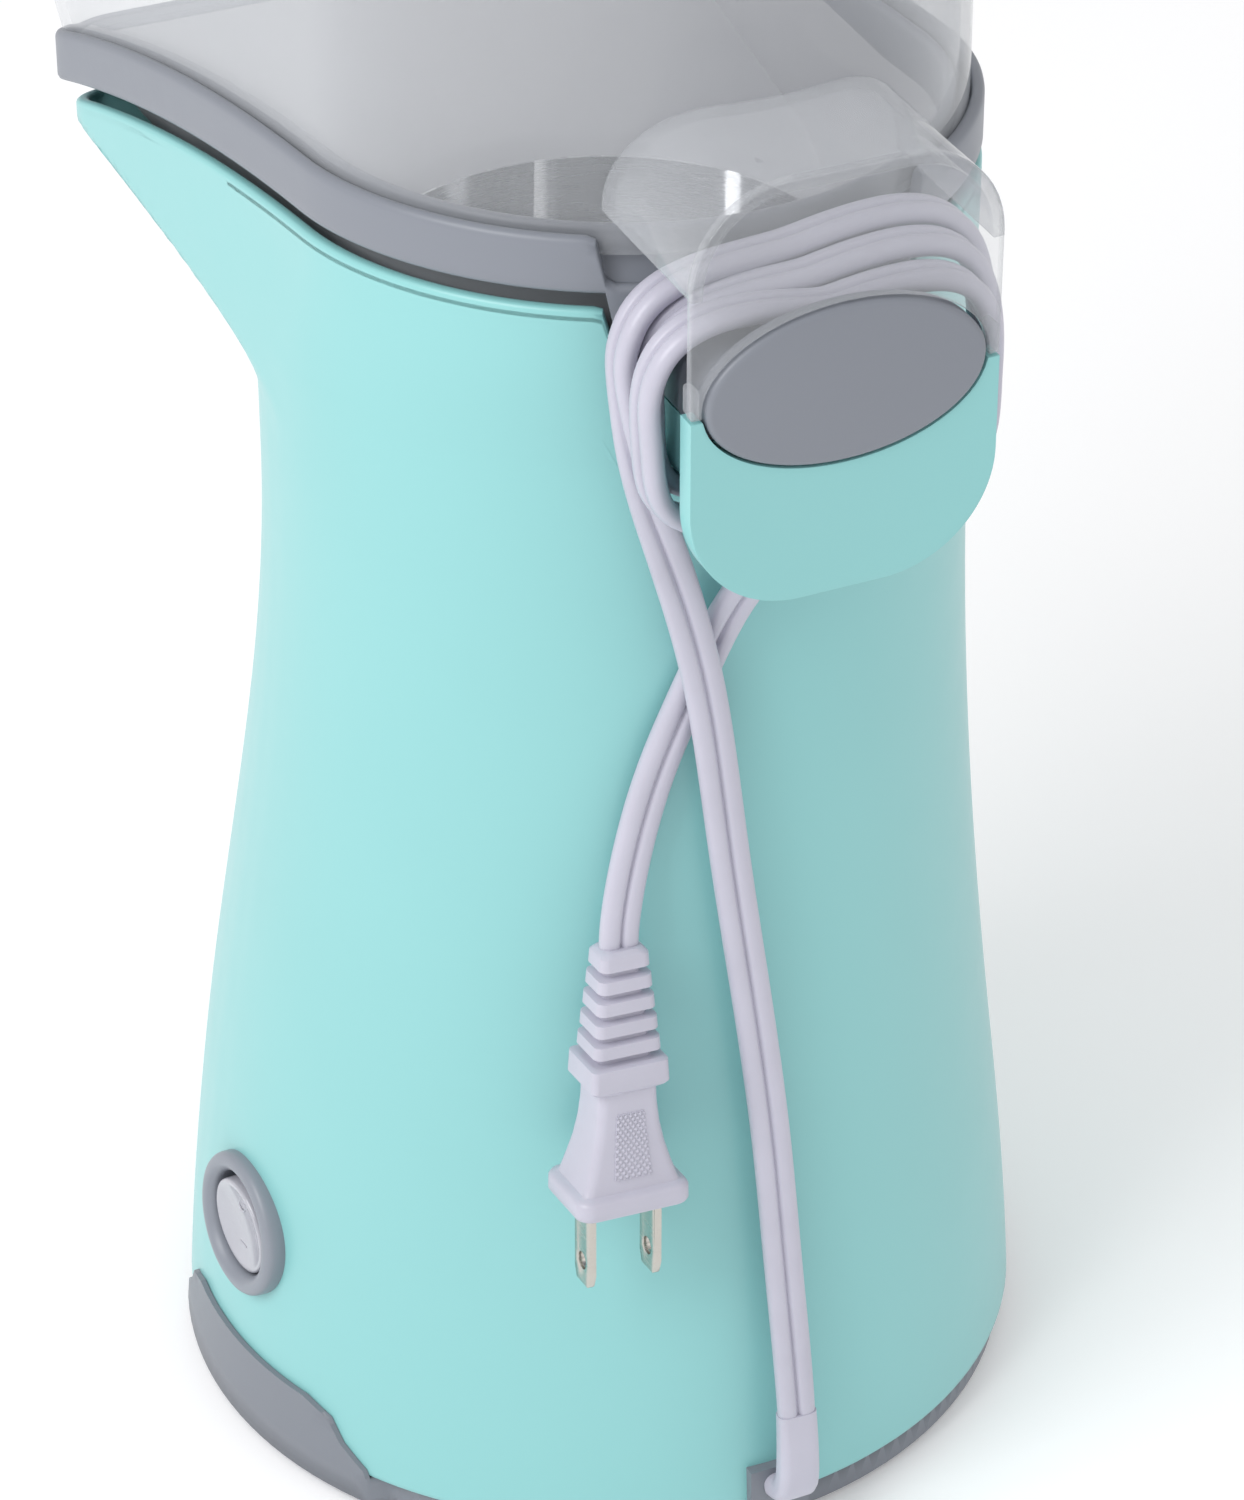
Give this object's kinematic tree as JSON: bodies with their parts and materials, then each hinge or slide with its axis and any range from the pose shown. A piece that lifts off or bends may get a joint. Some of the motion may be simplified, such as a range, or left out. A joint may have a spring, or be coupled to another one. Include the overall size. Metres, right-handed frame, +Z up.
{
  "type": "hot air popcorn maker",
  "caption": "Waisted hot-air popcorn maker with a gray chute collar, clear lift-off cover, measuring cup, side rocker switch and a cord wound on a rear post.",
  "frame": {"origin": "centre line of the base where the feet stand, at floor level", "axes": "+Z up, -Y towards the spout, +Y towards the cord wrap, +X towards the switch"},
  "size_m": [0.1622, 0.2236, 0.402],
  "materials": {
    "aqua_housing": "satin aqua moulded plastic",
    "gray_trim": "fine matt gray plastic",
    "foot_rubber": "matt",
    "screw_steel": "zinc plated",
    "chamber_aluminium": "drawn sheet, satin",
    "sleeve_steel": "aluminised sheet",
    "mica": "layered mica sheet",
    "heater_wire": "oxidised resistance wire",
    "thermostat_black": "phenolic",
    "fuse_white": "ceramic",
    "fan_gray": "moulded",
    "motor_steel": "plated can",
    "motor_cap_black": "moulded",
    "magnet_gray": "sintered ferrite",
    "copper_winding": "enamelled copper wire on steel laminations",
    "shaft_steel": "ground",
    "bearing_bronze": "sintered bronze",
    "board_green": "solder resist",
    "diode_black": "moulded with tinned leads",
    "rocker_gray": "polished translucent gray",
    "switch_black": "moulded",
    "terminal_brass": "plated",
    "cord_lilac_white": "soft vinyl, slight sheen",
    "lead_white": "silicone sleeve",
    "lead_red": "silicone sleeve",
    "lead_black": "vinyl sleeve",
    "blade_nickel": "nickel plated brass",
    "clear_cover": "clear moulded plastic, polished",
    "clear_cup": "clear moulded plastic, polished"
  },
  "bodies": {
    "body": {"housing": "aqua_housing", "base": "gray_trim", "foot_pads": "foot_rubber", "base_screws": "screw_steel", "chute_collar": "gray_trim", "popping_chamber": "chamber_aluminium", "chamber_screws": "screw_steel", "air_sleeve": "sleeve_steel", "heater_frame": "mica", "main_heater_coil": "heater_wire", "dropper_coil": "heater_wire", "heat_shield": "mica", "thermostat": "thermostat_black", "thermal_fuse": "fuse_white", "fan_housing": "fan_gray", "fan_housing_screws": "screw_steel", "motor_can": "motor_steel", "motor_end_cap": "motor_cap_black", "motor_magnets": "magnet_gray", "shaft_bearings": "bearing_bronze", "motor_screws": "screw_steel", "rectifier_board": "board_green", "rectifier_diodes": "diode_black", "switch_bezel": "gray_trim", "switch_body": "switch_black", "switch_terminals": "terminal_brass", "cord_bushing": "gray_trim", "cord_clamp": "gray_trim", "mains_lead": "lead_white", "heater_lead": "lead_red", "motor_lead": "lead_black", "cord_rise": "cord_lilac_white", "cord_coil": "cord_lilac_white", "cord_tail": "cord_lilac_white", "plug_body": "cord_lilac_white", "plug_blades": "blade_nickel"},
    "rotor": {"fan": "fan_gray", "fan_clip": "screw_steel", "motor_armature": "copper_winding", "motor_shaft": "shaft_steel"},
    "rocker": {"switch_rocker": "rocker_gray"},
    "cover": {"clear_cover": "clear_cover"},
    "cup": {"measuring_cup": "clear_cup"}
  },
  "joints": [
    {"name": "fan_spin", "type": "hinge", "parent": "body", "child": "rotor", "pos_m": [0, 0.0015, 0.08], "axis": [0, 0, 1], "continuous": true},
    {"name": "switch_rock", "type": "hinge", "parent": "body", "child": "rocker", "pos_m": [0.07242, 0.00511, 0.04502], "axis": [-0.1045, 0.9945, 0], "range_deg": [-12, 0]},
    {"name": "cover_lift", "type": "slide", "parent": "body", "child": "cover", "axis": [0, 0, 1], "range_m": [0, 0.16]},
    {"name": "cup_lift", "type": "slide", "parent": "cover", "child": "cup", "axis": [0, 0, 1], "range_m": [0, 0.08]}
  ]
}
